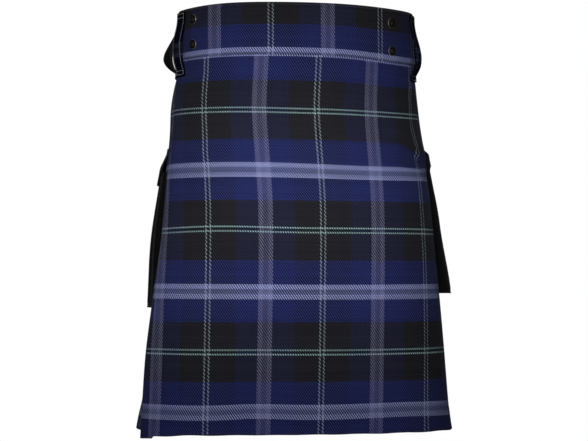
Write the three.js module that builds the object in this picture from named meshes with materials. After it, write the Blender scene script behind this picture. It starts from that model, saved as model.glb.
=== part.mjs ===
// A tartan kilt with hip pockets, in the form it takes when it is worn.
//
// A flat outer apron wraps across the front over an under apron, knife pleats close the back,
// and one long waistband with snap fasteners and belt loops holds them at the waist. A pocket
// with a flap hangs on each hip. Millimetres, +Z up, the front faces -Y, and +X is the right
// hand of someone who looks at the front. The origin is the centre of the waist opening, half
// way up the waistband, where the wearer's waist holds the kilt.
//
// Two lengths place everything. "drop" is the distance below the waistband's top edge. "reach"
// is the distance round the body from the centre front, positive towards +X. "lift" is the
// distance outwards from the body form that the section table gives.

import * as THREE from 'three';

// Driving dimensions
const kiltLength = 610;
const waistbandHeight = 74;
const clothThickness = 1.5;
const pleatThickness = 1.2;
const bandThickness = 3;
const strapThickness = 2;
const seamGap = 0.3;
const underApronLift = -3;
const underBandLift = -3.5;

// The body form that the outer apron's face follows: half width at the sides, depth from the
// side line to the front and to the back, and how square the front and back halves are, where
// 2 is an ellipse.
const bodySections = [
  { drop: 0, halfWidth: 172, frontDepth: 115, backDepth: 112, frontSquare: 2.25, backSquare: 2.2 },
  { drop: 80, halfWidth: 175, frontDepth: 118, backDepth: 122, frontSquare: 2.3, backSquare: 2.2 },
  { drop: 155, halfWidth: 181.5, frontDepth: 124, backDepth: 137, frontSquare: 2.45, backSquare: 2.2 },
  { drop: 215, halfWidth: 190, frontDepth: 127, backDepth: 147, frontSquare: 2.56, backSquare: 2.25 },
  { drop: 300, halfWidth: 200, frontDepth: 129, backDepth: 155, frontSquare: 2.65, backSquare: 2.3 },
  { drop: 422, halfWidth: 212, frontDepth: 124, backDepth: 167, frontSquare: 2.8, backSquare: 2.35 },
  { drop: 610, halfWidth: 227, frontDepth: 120, backDepth: 187, frontSquare: 2.95, backSquare: 2.4 },
];

// The free edge of the outer apron: where it lies, and how far it stands off the under apron
// because nothing holds it down.
const freeEdge = [
  { drop: 0, reach: -226, standing: 0 },
  { drop: 74, reach: -227, standing: 0 },
  { drop: 170, reach: -230, standing: 0 },
  { drop: 250, reach: -236, standing: 0.5 },
  { drop: 330, reach: -240, standing: 2 },
  { drop: 420, reach: -249, standing: 6 },
  { drop: 500, reach: -256, standing: 9 },
  { drop: 610, reach: -263, standing: 7 },
];
const standingReach = 46;

// The inner end of the under apron, hidden behind the outer one.
const underEdge = [
  { drop: 0, reach: 140 },
  { drop: 610, reach: 178 },
];

// Knife pleats: they fill the back from seam to seam, with their folded edges towards -X.
// Each holds three layers of cloth, spacing apart; depthShare is how much of a pleat's width is
// folded under, and overlap is how far its folded edge passes over the next pleat.
const pleatCount = 18;
const pleatZoneShare = 0.75;
const pleatFace = 1;
const pleatCrown = 1.6;
const pleatRampLead = 16;
const pleatRampLength = 12;
const sharpestMiter = 0.6;
const pleatTable = [
  { drop: 74, spacing: 1.9, depthShare: 0.6, overlap: 2.2 },
  { drop: 235, spacing: 2, depthShare: 0.6, overlap: 2.4 },
  { drop: 420, spacing: 2.6, depthShare: 0.58, overlap: 2.8 },
  { drop: 610, spacing: 3.6, depthShare: 0.56, overlap: 3.2 },
];

// The largest soft folds of the cloth, in every layer alike: where each lies, how far it runs,
// how wide it is, its turn in degrees, where 0 runs level and 90 hangs straight down, and how
// high it stands, with a trough below zero.
const foldFade = 40;
const folds = [
  { reach: 192, drop: 226, halfLength: 40, halfWidth: 13, turn: 31, height: -2.6 },
  { reach: 186, drop: 202, halfLength: 46, halfWidth: 15, turn: 26, height: 2.6 },
  { reach: -150, drop: 214, halfLength: 64, halfWidth: 17, turn: 4, height: 2 },
  { reach: -275, drop: 138, halfLength: 42, halfWidth: 50, turn: 90, height: 5.5 },
  { reach: -370, drop: 620, halfLength: 62, halfWidth: 52, turn: 90, height: 11 },
  { reach: 252, drop: 640, halfLength: 40, halfWidth: 34, turn: 90, height: 4 },
  { reach: -90, drop: 560, halfLength: 130, halfWidth: 30, turn: 94, height: -3 },
  { reach: 30, drop: 570, halfLength: 120, halfWidth: 34, turn: 90, height: 2.2 },
  { reach: 140, drop: 560, halfLength: 130, halfWidth: 28, turn: 86, height: -3 },
];

// The free corner of the outer apron hangs lowest.
const cornerDroop = 10;
const cornerReach = 80;

// How far the waistband and the cloth below it sag at the left and the right of the front, and
// where, in every layer alike.
const sagging = [
  { drop: 0, left: 3.5, right: 3 },
  { drop: 74, left: 2, right: 6.5 },
  { drop: 141, left: 0, right: 3 },
  { drop: 230, left: 0, right: 0.7 },
  { drop: 320, left: 0, right: 0 },
  { drop: 610, left: 0, right: 0 },
];
const sagLeft = { reach: -200, halfWidth: 60 };
const sagRight = { reach: 150, halfWidth: 84 };

// Snap fasteners on the waistband.
const snapRadius = 7;
const snapHeight = 2.6;
const snapRimHeight = 1.2;
const snapStandoff = 0.8;
const snaps = [
  { name: 'snap_left_upper', reach: -176, drop: 17.5 },
  { name: 'snap_left_lower', reach: -176, drop: 54 },
  { name: 'snap_right_upper', reach: 127, drop: 19.5 },
  { name: 'snap_right_lower', reach: 127, drop: 58 },
];

// Belt loops: straps sewn above and below the waistband, with room for a belt behind them.
// bulge is how far the strap stands off, and lowest is the share of its height where it does.
const loopWidth = 32;
const loopTop = 4;
const loopBottom = 98;
const loopSewn = 8;
const loopStepDown = 14;
const loops = [
  { name: 'belt_loop_front_left', reach: -210.5, bulge: 6, lowest: 0.52 },
  { name: 'belt_loop_side_left', reach: -258, bulge: 17, lowest: 0.72 },
  { name: 'belt_loop_front_right', reach: 189, bulge: 9, lowest: 0.64 },
  { name: 'belt_loop_side_right', reach: 262, bulge: 9, lowest: 0.52 },
  { name: 'belt_loop_back', reach: 468, bulge: 9, lowest: 0.52 },
];

// Hip pockets: a pouch open at the top and towards the body, under a flap. mouth is how far the
// pouch's mouth lies below the flap's top, and the depths are how far the pouch stands off the
// kilt at its mouth, its belly and its base.
const pocketCloth = 1.5;
const pocketFront = 260;
const pocketBack = 400;
const pocketCrown = 1;
const flapHeight = 52;
const flapOverhang = 3;
const flapClearance = 0.6;
const flapCorner = 8;
const flapCornerShare = 1 / 6;
const flapBelly = 1.5;
const flapSewn = 2;
const pockets = [
  { side: 'left', sign: -1, top: 202, mouth: 34, bottom: 432, mouthDepth: 7, bellyDepth: 10, baseDepth: 7 },
  { side: 'right', sign: 1, top: 191, mouth: 18, bottom: 412, mouthDepth: 10, bellyDepth: 14, baseDepth: 19 },
];

const ringSteps = 720;
const degrees = Math.PI / 180;

// Value of one column of a table at a drop: a smooth curve through the rows.
function tableValue(table, column, drop) {
  const last = table.length - 1;
  const slope = (k) => {
    const before = Math.max(k - 1, 0);
    const after = Math.min(k + 1, last);
    return (table[after][column] - table[before][column]) / (table[after].drop - table[before].drop);
  };
  if (drop <= table[0].drop) return table[0][column];
  if (drop >= table[last].drop) return table[last][column] + slope(last) * (drop - table[last].drop);
  let k = 0;
  while (drop > table[k + 1].drop) k += 1;
  const span = table[k + 1].drop - table[k].drop;
  const t = (drop - table[k].drop) / span;
  const start = table[k][column];
  const end = table[k + 1][column];
  const bend = t * t * (3 - 2 * t);
  const leaving = span * slope(k) * t * (1 - t) * (1 - t);
  const arriving = span * slope(k + 1) * t * t * (1 - t);
  return start + (end - start) * bend + leaving - arriving;
}

// One point of the body form's outline, at an angle from the centre front.
function outlinePoint(section, angle) {
  const across = Math.sin(angle);
  const forward = Math.cos(angle);
  const depth = forward > 0 ? section.frontDepth : section.backDepth;
  const power = 2 / (forward > 0 ? section.frontSquare : section.backSquare);
  return new THREE.Vector2(
    section.halfWidth * Math.sign(across) * Math.abs(across) ** power,
    -depth * Math.sign(forward) * Math.abs(forward) ** power,
  );
}

// The body form's outline at one drop, measured by its length from the centre front.
function makeRing(drop) {
  const section = {};
  for (const column of Object.keys(bodySections[0])) {
    section[column] = tableValue(bodySections, column, drop);
  }
  const points = [];
  for (let i = 0; i <= ringSteps; i += 1) {
    points.push(outlinePoint(section, Math.PI * (2 * i / ringSteps - 1)));
  }
  const arc = [0];
  for (let i = 1; i <= ringSteps; i += 1) arc.push(arc[i - 1] + points[i].distanceTo(points[i - 1]));
  const half = arc[ringSteps / 2];
  const normals = points.map((point, i) => {
    const before = points[(i - 1 + ringSteps) % ringSteps];
    const after = points[(i + 1) % ringSteps];
    const along = after.clone().sub(before).normalize();
    return new THREE.Vector2(along.y, -along.x);
  });
  return { points, arc, half, normals, side: arc[3 * ringSteps / 4] - half };
}

const ringCache = new Map();
function ringAt(drop) {
  if (!ringCache.has(drop)) ringCache.set(drop, makeRing(drop));
  return ringCache.get(drop);
}

function bell(t) {
  return Math.exp(-(t ** 2));
}

// How far the cloth sags at a reach and drop.
function sagAt(reach, drop) {
  const left = tableValue(sagging, 'left', drop) * bell((reach - sagLeft.reach) / sagLeft.halfWidth);
  const right = tableValue(sagging, 'right', drop) * bell((reach - sagRight.reach) / sagRight.halfWidth);
  return left + right;
}

// The point at a reach, drop and lift, and the outward direction there.
function place(reach, drop, lift, sink = 0) {
  const ring = ringAt(drop);
  const round = 2 * ring.half;
  const target = ((reach + ring.half) % round + round) % round;
  let low = 0;
  let high = ringSteps;
  while (high - low > 1) {
    const middle = (low + high) >> 1;
    if (ring.arc[middle] <= target) low = middle;
    else high = middle;
  }
  const t = (target - ring.arc[low]) / (ring.arc[high] - ring.arc[low]);
  const point = ring.points[low].clone().lerp(ring.points[high], t);
  const normal = ring.normals[low].clone().lerp(ring.normals[high], t).normalize();
  point.addScaledVector(normal, lift);
  const sunk = sink + sagAt(target - ring.half, drop);
  return { at: [point.x, point.y, waistbandHeight / 2 - drop - sunk], normal };
}

function smooth(t) {
  const held = THREE.MathUtils.clamp(t, 0, 1);
  return held * held * (3 - 2 * held);
}

// A reach brought back to the range from the centre back round to the centre back.
function wrapReach(reach, drop) {
  const half = ringAt(drop).half;
  return reach > half ? reach - 2 * half : reach;
}

// How far the soft folds lift the cloth at a reach and drop.
function foldLift(reach, drop) {
  const wrapped = wrapReach(reach, drop);
  let lift = 0;
  for (const fold of folds) {
    const turn = fold.turn * degrees;
    const right = wrapped - fold.reach;
    const down = drop - fold.drop;
    const along = (right * Math.cos(turn) + down * Math.sin(turn)) / fold.halfLength;
    const across = (down * Math.cos(turn) - right * Math.sin(turn)) / fold.halfWidth;
    lift += fold.height * bell(along) * bell(across);
  }
  return lift * smooth((drop - waistbandHeight) / foldFade);
}

// A wall of cloth from a grid of points on its outer face and the same grid on its inner face,
// joined round the four edges. Rows run down and columns run towards +X across the front.
function wall(rows, columns, face) {
  const positions = [];
  const index = [];
  const across = columns + 1;
  const layer = (rows + 1) * across;
  for (const outer of [true, false]) {
    for (let i = 0; i <= rows; i += 1) {
      for (let j = 0; j <= columns; j += 1) positions.push(...face(i, j, outer));
    }
  }
  const quad = (a, b, c, d) => index.push(a, b, c, a, c, d);
  const out = (i, j) => i * across + j;
  const inn = (i, j) => layer + i * across + j;
  for (let i = 0; i < rows; i += 1) {
    for (let j = 0; j < columns; j += 1) {
      quad(out(i, j), out(i + 1, j), out(i + 1, j + 1), out(i, j + 1));
      quad(inn(i, j), inn(i, j + 1), inn(i + 1, j + 1), inn(i + 1, j));
    }
  }
  for (let j = 0; j < columns; j += 1) {
    quad(out(0, j), out(0, j + 1), inn(0, j + 1), inn(0, j));
    quad(out(rows, j), inn(rows, j), inn(rows, j + 1), out(rows, j + 1));
  }
  for (let i = 0; i < rows; i += 1) {
    quad(out(i, 0), inn(i, 0), inn(i + 1, 0), out(i + 1, 0));
    quad(out(i, columns), out(i + 1, columns), inn(i + 1, columns), inn(i, columns));
  }
  const geometry = new THREE.BufferGeometry();
  geometry.setAttribute('position', new THREE.Float32BufferAttribute(positions, 3));
  geometry.setIndex(index);
  geometry.computeVertexNormals();
  return geometry;
}

// Where the pleats begin on the +X side, as a distance round the body.
function pleatSeam(drop) {
  const ring = ringAt(drop);
  return ring.side + (ring.half - ring.side) * (1 - pleatZoneShare);
}

// How far round the back the cloth has sunk to pass under itself, from 0 at the +X side line
// to 1 at the -X side line.
function sunkShare(reach, drop) {
  const ring = ringAt(drop);
  return smooth((reach - ring.side) / (2 * (ring.half - ring.side)));
}

// How much lower than level the hem hangs.
function hemSink(reach, drop) {
  const corner = smooth(1 - (reach - tableValue(freeEdge, 'reach', drop)) / cornerReach);
  return cornerDroop * corner * smooth((drop - waistbandHeight) / (kiltLength - waistbandHeight));
}

const skirtTop = waistbandHeight + seamGap;
const rowCrowding = 1.25;

// Drops of the rows of a skirt panel, from under the waistband to the hem, closer together
// towards the waist.
function skirtRows(count) {
  return Array.from({ length: count + 1 }, (_, i) => (
    skirtTop + (kiltLength - skirtTop) * (i / count) ** rowCrowding
  ));
}

function outerApron() {
  const rows = skirtRows(16);
  const columns = 32;
  return wall(rows.length - 1, columns, (i, j, outer) => {
    const drop = rows[i];
    const from = tableValue(freeEdge, 'reach', drop);
    const to = pleatSeam(drop) - seamGap / 2;
    const reach = from + (to - from) * j / columns;
    const standing = tableValue(freeEdge, 'standing', drop) * smooth(1 - (reach - from) / standingReach);
    const lift = foldLift(reach, drop) + standing - (outer ? 0 : clothThickness);
    return place(reach, drop, lift, hemSink(reach, drop)).at;
  });
}

function underApron() {
  const rows = skirtRows(12);
  const columns = 24;
  return wall(rows.length - 1, columns, (i, j, outer) => {
    const drop = rows[i];
    const from = -pleatSeam(drop) + seamGap / 2;
    const to = tableValue(underEdge, 'reach', drop);
    const reach = from + (to - from) * j / columns;
    const lift = foldLift(reach, drop) + underApronLift - (outer ? 0 : clothThickness);
    return place(reach, drop, lift).at;
  });
}

// The zigzag of the pleats at one drop, as points of the cloth's middle line: distance from the
// first seam, and layer, from 0 for the innermost to 2 for the outermost, in the order that the
// cloth runs. Each pleat rises from under the last one, turns under at its folded edge, runs back
// and turns again.
function pleatLine(drop, width) {
  const spacing = tableValue(pleatTable, 'spacing', drop);
  const overlap = tableValue(pleatTable, 'overlap', drop);
  const roundness = 0.35 * spacing;
  const reveal = (width - overlap - roundness - pleatThickness) / pleatCount;
  const depth = reveal * tableValue(pleatTable, 'depthShare', drop);
  const ease = 1.2;
  const line = [[0, 1.3]];
  for (let k = 0; k < pleatCount; k += 1) {
    const start = reveal * k;
    const fold = start + reveal + overlap;
    const inner = fold - depth;
    if (k > 0) line.push([start + overlap / 2, 0], [start + overlap + ease, 0.15]);
    line.push([inner - ease, 1.75]);
    line.push([fold, 2], [fold + roundness, 1.5], [fold, 1]);
    line.push([inner, 1], [inner - roundness, 0.5], [inner, 0]);
  }
  line.push([width, 0]);
  return line.map(([run, layer]) => new THREE.Vector2(run, layer * spacing));
}

// The two faces of the pleated cloth at one drop: each point of the middle line moved half a
// thickness along the bisector of its corner.
function pleatFaces(drop) {
  const seam = pleatSeam(drop) + seamGap / 2;
  const width = 2 * (ringAt(drop).half - seam);
  const spacing = tableValue(pleatTable, 'spacing', drop);
  const base = pleatFace - 2 * spacing - pleatThickness / 2;
  const line = pleatLine(drop, width);
  return line.map((point, k) => {
    const into = point.clone().sub(line[Math.max(k - 1, 0)]).normalize();
    const from = line[Math.min(k + 1, line.length - 1)].clone().sub(point).normalize();
    const along = into.clone().add(from).normalize();
    const bisector = new THREE.Vector2(-along.y, along.x);
    const heading = k === 0 ? from : into;
    const miter = 1 / Math.max(sharpestMiter, along.dot(heading));
    return [1, -1].map((face) => {
      const moved = point.clone().addScaledVector(bisector, face * miter * pleatThickness / 2);
      const reach = seam + moved.x;
      const sunk = underApronLift * sunkShare(seam + point.x, drop);
      return place(reach, drop, base + moved.y + sunk + foldLift(reach, drop)).at;
    });
  });
}

function pleatedBack() {
  const rows = skirtRows(8);
  const faces = rows.map((drop) => pleatFaces(drop));
  return wall(rows.length - 1, faces[0].length - 1, (i, j, outer) => faces[i][j][outer ? 0 : 1]);
}

// Lift of the outermost cloth of the skirt at a reach. A piece that lies over the edge of the
// pleats starts to rise to them a little before they begin.
function skirtFace(reach, drop) {
  const wrapped = wrapReach(reach, drop);
  const seam = pleatSeam(drop);
  const left = wrapped < tableValue(freeEdge, 'reach', drop);
  const flat = left ? underApronLift : 0;
  const round = left ? 2 * ringAt(drop).half + wrapped : wrapped;
  const pleats = pleatCrown + underApronLift * sunkShare(round, drop);
  const share = smooth((Math.abs(wrapped) - seam + pleatRampLead) / pleatRampLength);
  return flat + (pleats - flat) * share + foldLift(wrapped, drop);
}

// Lift of the waistband's middle at a reach, which sinks round the back.
function bandLift(reach, drop) {
  return underBandLift * sunkShare(reach, drop);
}

// One long strip: over the outer apron from its free end, round the back, and on under itself to
// the inner end of the under apron.
function waistband() {
  const softEdge = 1.2;
  const drops = [0, softEdge, waistbandHeight / 2, waistbandHeight - softEdge, waistbandHeight];
  const edgeThickness = bandThickness / 2;
  const columns = 76;
  return wall(drops.length - 1, columns, (i, j, outer) => {
    const drop = drops[i];
    const from = tableValue(freeEdge, 'reach', drop);
    const to = 2 * ringAt(drop).half + tableValue(underEdge, 'reach', drop);
    const reach = from + (to - from) * j / columns;
    const thickness = i === 0 || i === drops.length - 1 ? edgeThickness : bandThickness;
    const lift = bandLift(reach, drop) + (outer ? 0.5 : -0.5) * thickness;
    return place(reach, drop, lift).at;
  });
}

// Lift of the outermost face of the waistband at a reach.
function bandFace(reach, drop) {
  const under = reach < tableValue(freeEdge, 'reach', drop);
  const round = under ? reach + 2 * ringAt(drop).half : reach;
  return bandLift(round, drop) + bandThickness / 2;
}

function beltLoop(loop) {
  const rows = 14;
  const columns = 4;
  const height = loopBottom - loopTop;
  const free = height - 2 * loopSewn;
  return wall(rows, columns, (i, j, outer) => {
    const down = height * i / rows;
    const drop = loopTop + down;
    const reach = loop.reach + loopWidth * (j / columns - 0.5);
    const share = THREE.MathUtils.clamp((down - loopSewn) / free, 0, 1);
    const standing = share < loop.lowest
      ? smooth(share / loop.lowest)
      : 1 - ((share - loop.lowest) / (1 - loop.lowest)) ** 2;
    const upper = bandFace(loop.reach, Math.min(drop, waistbandHeight));
    const lower = Math.max(...[-0.5, 0, 0.5].map((side) => (
      skirtFace(loop.reach + side * loopWidth, loopBottom)
    )));
    const seat = upper + (lower - upper) * smooth((drop - waistbandHeight) / loopStepDown);
    const lift = seat + seamGap + loop.bulge * standing + (outer ? strapThickness : 0);
    return place(reach, drop, lift).at;
  });
}

// A domed snap cap that stands off the waistband along its outward direction.
function snapCap(snap) {
  const segments = 18;
  const profile = [
    new THREE.Vector2(0, 0),
    new THREE.Vector2(snapRadius, 0),
    new THREE.Vector2(snapRadius, snapRimHeight * 0.6),
    new THREE.Vector2(snapRadius * 0.88, snapRimHeight),
    new THREE.Vector2(snapRadius * 0.8, snapRimHeight),
    new THREE.Vector2(snapRadius * 0.55, snapHeight * 0.88),
    new THREE.Vector2(0, snapHeight),
  ];
  const mesh = new THREE.Mesh(new THREE.LatheGeometry(profile, segments));
  const seat = place(snap.reach, snap.drop, bandFace(snap.reach, snap.drop) + snapStandoff);
  const outward = new THREE.Vector3(seat.normal.x, seat.normal.y, 0);
  mesh.quaternion.setFromUnitVectors(new THREE.Vector3(0, 1, 0), outward);
  mesh.position.set(...seat.at);
  return mesh;
}

// The point on a pocket at a share of its width, counted from -X to +X across its outer face.
function pocketPlace(pocket, share, drop, lift, margin) {
  const from = pocketFront - margin;
  const width = pocketBack - pocketFront + 2 * margin;
  const forward = pocket.sign > 0 ? share : 1 - share;
  const reach = pocket.sign * (from + width * forward);
  return place(reach, drop, skirtFace(reach, drop) + seamGap + lift).at;
}

// How far a pocket's pouch stands off the kilt, at a share of its height below the mouth.
function pouchDepth(pocket, fall) {
  const upper = pocket.mouthDepth + (pocket.bellyDepth - pocket.mouthDepth) * smooth(2 * fall);
  return upper + (pocket.baseDepth - pocket.bellyDepth) * smooth(2 * fall - 1);
}

// The pouch: its front, and sides and a base that turn in to the kilt's cloth.
function pouch(pocket) {
  const rows = 11;
  const columns = 10;
  const mouth = pocket.top + pocket.mouth;
  return wall(rows, columns, (i, j, outer) => {
    const inset = outer ? 0 : pocketCloth;
    const share = THREE.MathUtils.clamp((j - 1) / (columns - 2), 0, 1);
    const fall = Math.min(i / (rows - 1), 1);
    const drop = mouth + (pocket.bottom - inset - mouth) * fall;
    const rim = j === 0 || j === columns || i === rows;
    const crown = pocketCrown * Math.sin(Math.PI * share) * Math.sin(Math.PI * fall);
    const lift = rim ? 0 : pouchDepth(pocket, fall) + crown - inset;
    return pocketPlace(pocket, share, drop, lift, -inset);
  });
}

// The flap: sewn down along its top, then out over the mouth, with its lower corners cut off.
function flap(pocket) {
  const rows = 8;
  const columns = 10;
  return wall(rows, columns, (i, j, outer) => {
    const share = j / columns;
    const corner = smooth(1 - Math.min(share, 1 - share) / flapCornerShare);
    const down = (flapHeight - flapCorner * corner) * i / rows;
    const drop = pocket.top + down;
    const fall = Math.max(0, (drop - pocket.top - pocket.mouth) / (pocket.bottom - pocket.top));
    const belly = flapBelly * Math.sin(Math.PI * share) * smooth(2 * i / rows - 1);
    const over = pouchDepth(pocket, fall) + flapClearance + pocketCrown * smooth(4 * fall) + belly;
    const risen = smooth((down - flapSewn) / (pocket.mouth - 2 * flapSewn));
    const lift = over * risen + (outer ? pocketCloth : 0);
    return pocketPlace(pocket, share, drop, lift, flapOverhang);
  });
}

const tartanCloth = new THREE.MeshStandardMaterial({ color: 0x20244c, roughness: 0.9, metalness: 0 });
const blackCloth = new THREE.MeshStandardMaterial({ color: 0x0b0b0d, roughness: 0.92, metalness: 0 });
const darkMetal = new THREE.MeshStandardMaterial({ color: 0x2f2a28, roughness: 0.38, metalness: 0.85 });

const kilt = new THREE.Group();

function addPiece(name, geometry, material) {
  const mesh = new THREE.Mesh(geometry, material);
  mesh.name = name;
  kilt.add(mesh);
}

addPiece('outer_apron', outerApron(), tartanCloth);
addPiece('under_apron', underApron(), tartanCloth);
addPiece('pleated_back', pleatedBack(), tartanCloth);
addPiece('waistband', waistband(), tartanCloth);
for (const loop of loops) addPiece(loop.name, beltLoop(loop), tartanCloth);
for (const pocket of pockets) {
  addPiece(`pocket_${pocket.side}`, pouch(pocket), blackCloth);
  addPiece(`pocket_flap_${pocket.side}`, flap(pocket), blackCloth);
}
for (const snap of snaps) {
  const cap = snapCap(snap);
  cap.name = snap.name;
  cap.material = darkMetal;
  kilt.add(cap);
}

export default kilt;
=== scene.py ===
"""Looks of a tartan kilt with hip pockets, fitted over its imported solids.

Every cloth surface comes from the same lengths as the solids. "reach" is the distance round the
body from the centre front, positive towards +X. "drop" is the distance below the waistband's top
edge. "lift" is the distance outwards from the body form. These are millimetres, and place() turns
them into points in metres.
"""
import math

import bpy
import numpy as np
from mathutils import Matrix


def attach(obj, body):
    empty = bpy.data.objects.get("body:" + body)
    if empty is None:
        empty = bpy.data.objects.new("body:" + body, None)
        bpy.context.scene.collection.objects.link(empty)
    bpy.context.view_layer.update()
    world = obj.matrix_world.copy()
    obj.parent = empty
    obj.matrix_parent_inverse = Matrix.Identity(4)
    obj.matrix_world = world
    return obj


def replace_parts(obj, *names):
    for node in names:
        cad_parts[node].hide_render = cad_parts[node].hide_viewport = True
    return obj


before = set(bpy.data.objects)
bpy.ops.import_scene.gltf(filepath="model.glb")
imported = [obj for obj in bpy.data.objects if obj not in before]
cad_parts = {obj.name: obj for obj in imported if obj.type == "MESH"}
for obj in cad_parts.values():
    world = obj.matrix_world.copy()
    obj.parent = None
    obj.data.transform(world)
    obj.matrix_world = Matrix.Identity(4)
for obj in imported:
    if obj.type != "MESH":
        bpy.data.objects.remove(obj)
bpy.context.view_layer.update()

# Driving dimensions, in millimetres
KILT_LENGTH = 610
BAND_HEIGHT = 74
CLOTH = 1.5
PLEAT_CLOTH = 1.2
BAND_THICKNESS = 3
BAND_EDGE = 2.4
STRAP_THICKNESS = 2
SEAM_GAP = 0.3
UNDER_APRON_LIFT = -3
UNDER_BAND_LIFT = -3.5
PLEAT_COUNT = 18
PLEAT_ZONE_SHARE = 0.75
PLEAT_CROWN = 1.6
PLEAT_FACE = 1
PLEAT_RAMP_LEAD = 16
PLEAT_RAMP_LENGTH = 12
# Under the waistband the folded pleats are pressed to a share of their height about its middle.
PRESSED_TO = 71
PRESSED_FADE = 6
PRESSED_SHARE = 0.35
PRESSED_MIDDLE = -1.2
PLEAT_ROUNDNESS = 0.35
PLEATS_OPEN_FROM = 150
PLEATS_OPEN_OVER = 400
PLEAT_LOOSENESS = 0.26
PLEAT_LEAN = 1.3
HIP_DROP = 420.0
STANDING_REACH = 46
CORNER_DROOP = 4.5
CORNER_REACH = 110
FACING_WIDTH = 31
FACING_DROOP = 3.5
HEM_HEIGHT = 30
HEM_PROUD = 0.45
FACING_PROUD = 0.4

# The body form that the cloth hangs on, one column a drop: half width, depth to the front and to
# the back, and how square each half is, where 2 is an ellipse.
BODY = {
    "drop": [0, 80, 155, 215, 300, 422, 610],
    "half_width": [172, 175, 181.5, 190, 200, 212, 227],
    "front_depth": [115, 118, 124, 127, 129, 124, 120],
    "back_depth": [112, 122, 137, 147, 155, 167, 187],
    "front_square": [2.25, 2.3, 2.45, 2.56, 2.65, 2.8, 2.95],
    "back_square": [2.2, 2.2, 2.2, 2.25, 2.3, 2.35, 2.4],
}
# The free edge of the outer apron: where it lies, and how far it stands off.
FREE_EDGE = {
    "drop": [0, 74, 170, 250, 330, 420, 500, 610],
    "reach": [-226, -227, -230, -236, -240, -249, -256, -263],
    "standing": [0, 0, 0, 0.5, 2, 6, 9, 7],
}
UNDER_EDGE = {"drop": [0, 610], "reach": [140, 178]}
PLEATS = {
    "drop": [74, 235, 420, 610],
    "spacing": [1.9, 2, 2.6, 3.6],
    "depth_share": [0.6, 0.6, 0.58, 0.56],
    "overlap": [2.2, 2.4, 2.8, 3.2],
}

# Where the stripes fall. The check repeats every two half setts: a pale green pair of lines, and
# half a sett on a lavender stripe. warp_phase is the reach of a green pair down the skirt.
WARP_SETT = 81.6
WEFT_SETT = 85.6
WARP_PHASE = {
    "drop": [60, 83, 153, 235, 294, 420, 603],
    "reach": [10.8, 10.8, 7, 12, 15, 15.5, 13],
}
WEFT_GREEN = 322.5
BAND_WARP_GREEN = -57
BAND_WEFT_LAVENDER = 74.5

# Soft folds of the cloth: reach, drop, half length, half width, turn in degrees, where 0 runs
# level and 90 hangs straight down, height, and bow, how far the middle of the fold bends.
FOLDS = [
    (192, 226, 40, 13, 31, -2.6, 0),
    (186, 202, 46, 15, 26, 2.6, 0),
    (-150, 214, 64, 17, 4, 2, 0),
    (-275, 138, 42, 50, 90, 5.5, 0),
    (-370, 620, 62, 52, 90, 11, 0),
    (252, 640, 40, 34, 90, 4, 0),
    (-90, 560, 130, 30, 94, -3, 0),
    (30, 570, 120, 34, 90, 2.2, 0),
    (140, 560, 130, 28, 86, -3, 0),
]
FOLD_FADE = 40
# Sharper creases, in the same columns.
CREASES = [
    (168, 211, 44, 6, 27, -3.0, 0),
    (163, 200, 44, 8, 27, 1.8, 0),
    (200, 215, 40, 5, 34, -1.6, 0),
    (-90, 591, 12, 3.5, 33, -1.6, 0),
    (-85, 584, 13, 4, 30, 1.0, 0),
    (-192, 86, 26, 4, 6, -1.5, 4),
    (-160, 96, 34, 6, 12, -0.9, 0),
    (150, 92, 50, 5, 5, -1.0, -5),
    (176, 128, 34, 8, 40, -1.1, 6),
    (-214, 188, 20, 6, 60, -1.2, 0),
    (-196, 470, 60, 16, 80, 1.2, 8),
    (196, 500, 80, 12, 96, -1.6, 6),
]
LEVEL_PULLS = [
    (60, 141, 170, 40, 0, 3.3, 0),
    (90, 228, 110, 35, 0, 4.2, 0),
    (-130, 318, 80, 35, 0, -2.5, 0),
    (60, 404, 170, 35, 0, 1.6, 0),
    (60, 493, 120, 35, 0, 1.0, 0),
    (-75, 586, 50, 35, 0, -2.6, 0),
    (150, 586, 90, 35, 0, -2.5, 0),
    (178, 208, 29, 18, 0, 14, 0),
]
UPRIGHT_PULLS = [
    (208, 212, 50, 13, 8, 5, 0),
    (178, 160, 34, 30, 90, -6, 0),
    (-196, 128, 40, 40, 0, -2.5, 0),
    (-245, 240, 110, 26, 90, -8, 0),
]
# How far the cloth sags at the left and the right of the front, and where.
SAGGING = {
    "drop": [0, 74, 141, 230, 320, 610],
    "left": [3.5, 2, 0, 0, 0, 0],
    "right": [3, 6.5, 3, 0.7, 0, 0],
}
SAG_LEFT = (-200, 60)
SAG_RIGHT = (150, 84)

SNAPS = {
    "snap_left_upper": (-176, 17.5),
    "snap_left_lower": (-176, 54),
    "snap_right_upper": (127, 19.5),
    "snap_right_lower": (127, 58),
}
SNAP_RADIUS = 7
SNAP_HEIGHT = 2.6
SNAP_STANDOFF = 0.4

LOOP_WIDTH = 32
LOOP_TOP = 4
LOOP_BOTTOM = 98
LOOP_SEWN = 8
LOOP_STEP_DOWN = 14
LOOP_HEIGHT = LOOP_BOTTOM - LOOP_TOP
LOOP_STITCH_INSET = 3.5
# Each loop's reach, how far it stands off, how far down it does so most, and its twist.
LOOPS = {
    "belt_loop_front_left": (-210.5, 6, 0.52, 0),
    "belt_loop_side_left": (-258, 15.5, 0.69, 7),
    "belt_loop_front_right": (189, 9, 0.64, 0.5),
    "belt_loop_side_right": (262, 9, 0.52, -0.5),
    "belt_loop_back": (468, 9, 0.52, 0.5),
}

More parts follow.
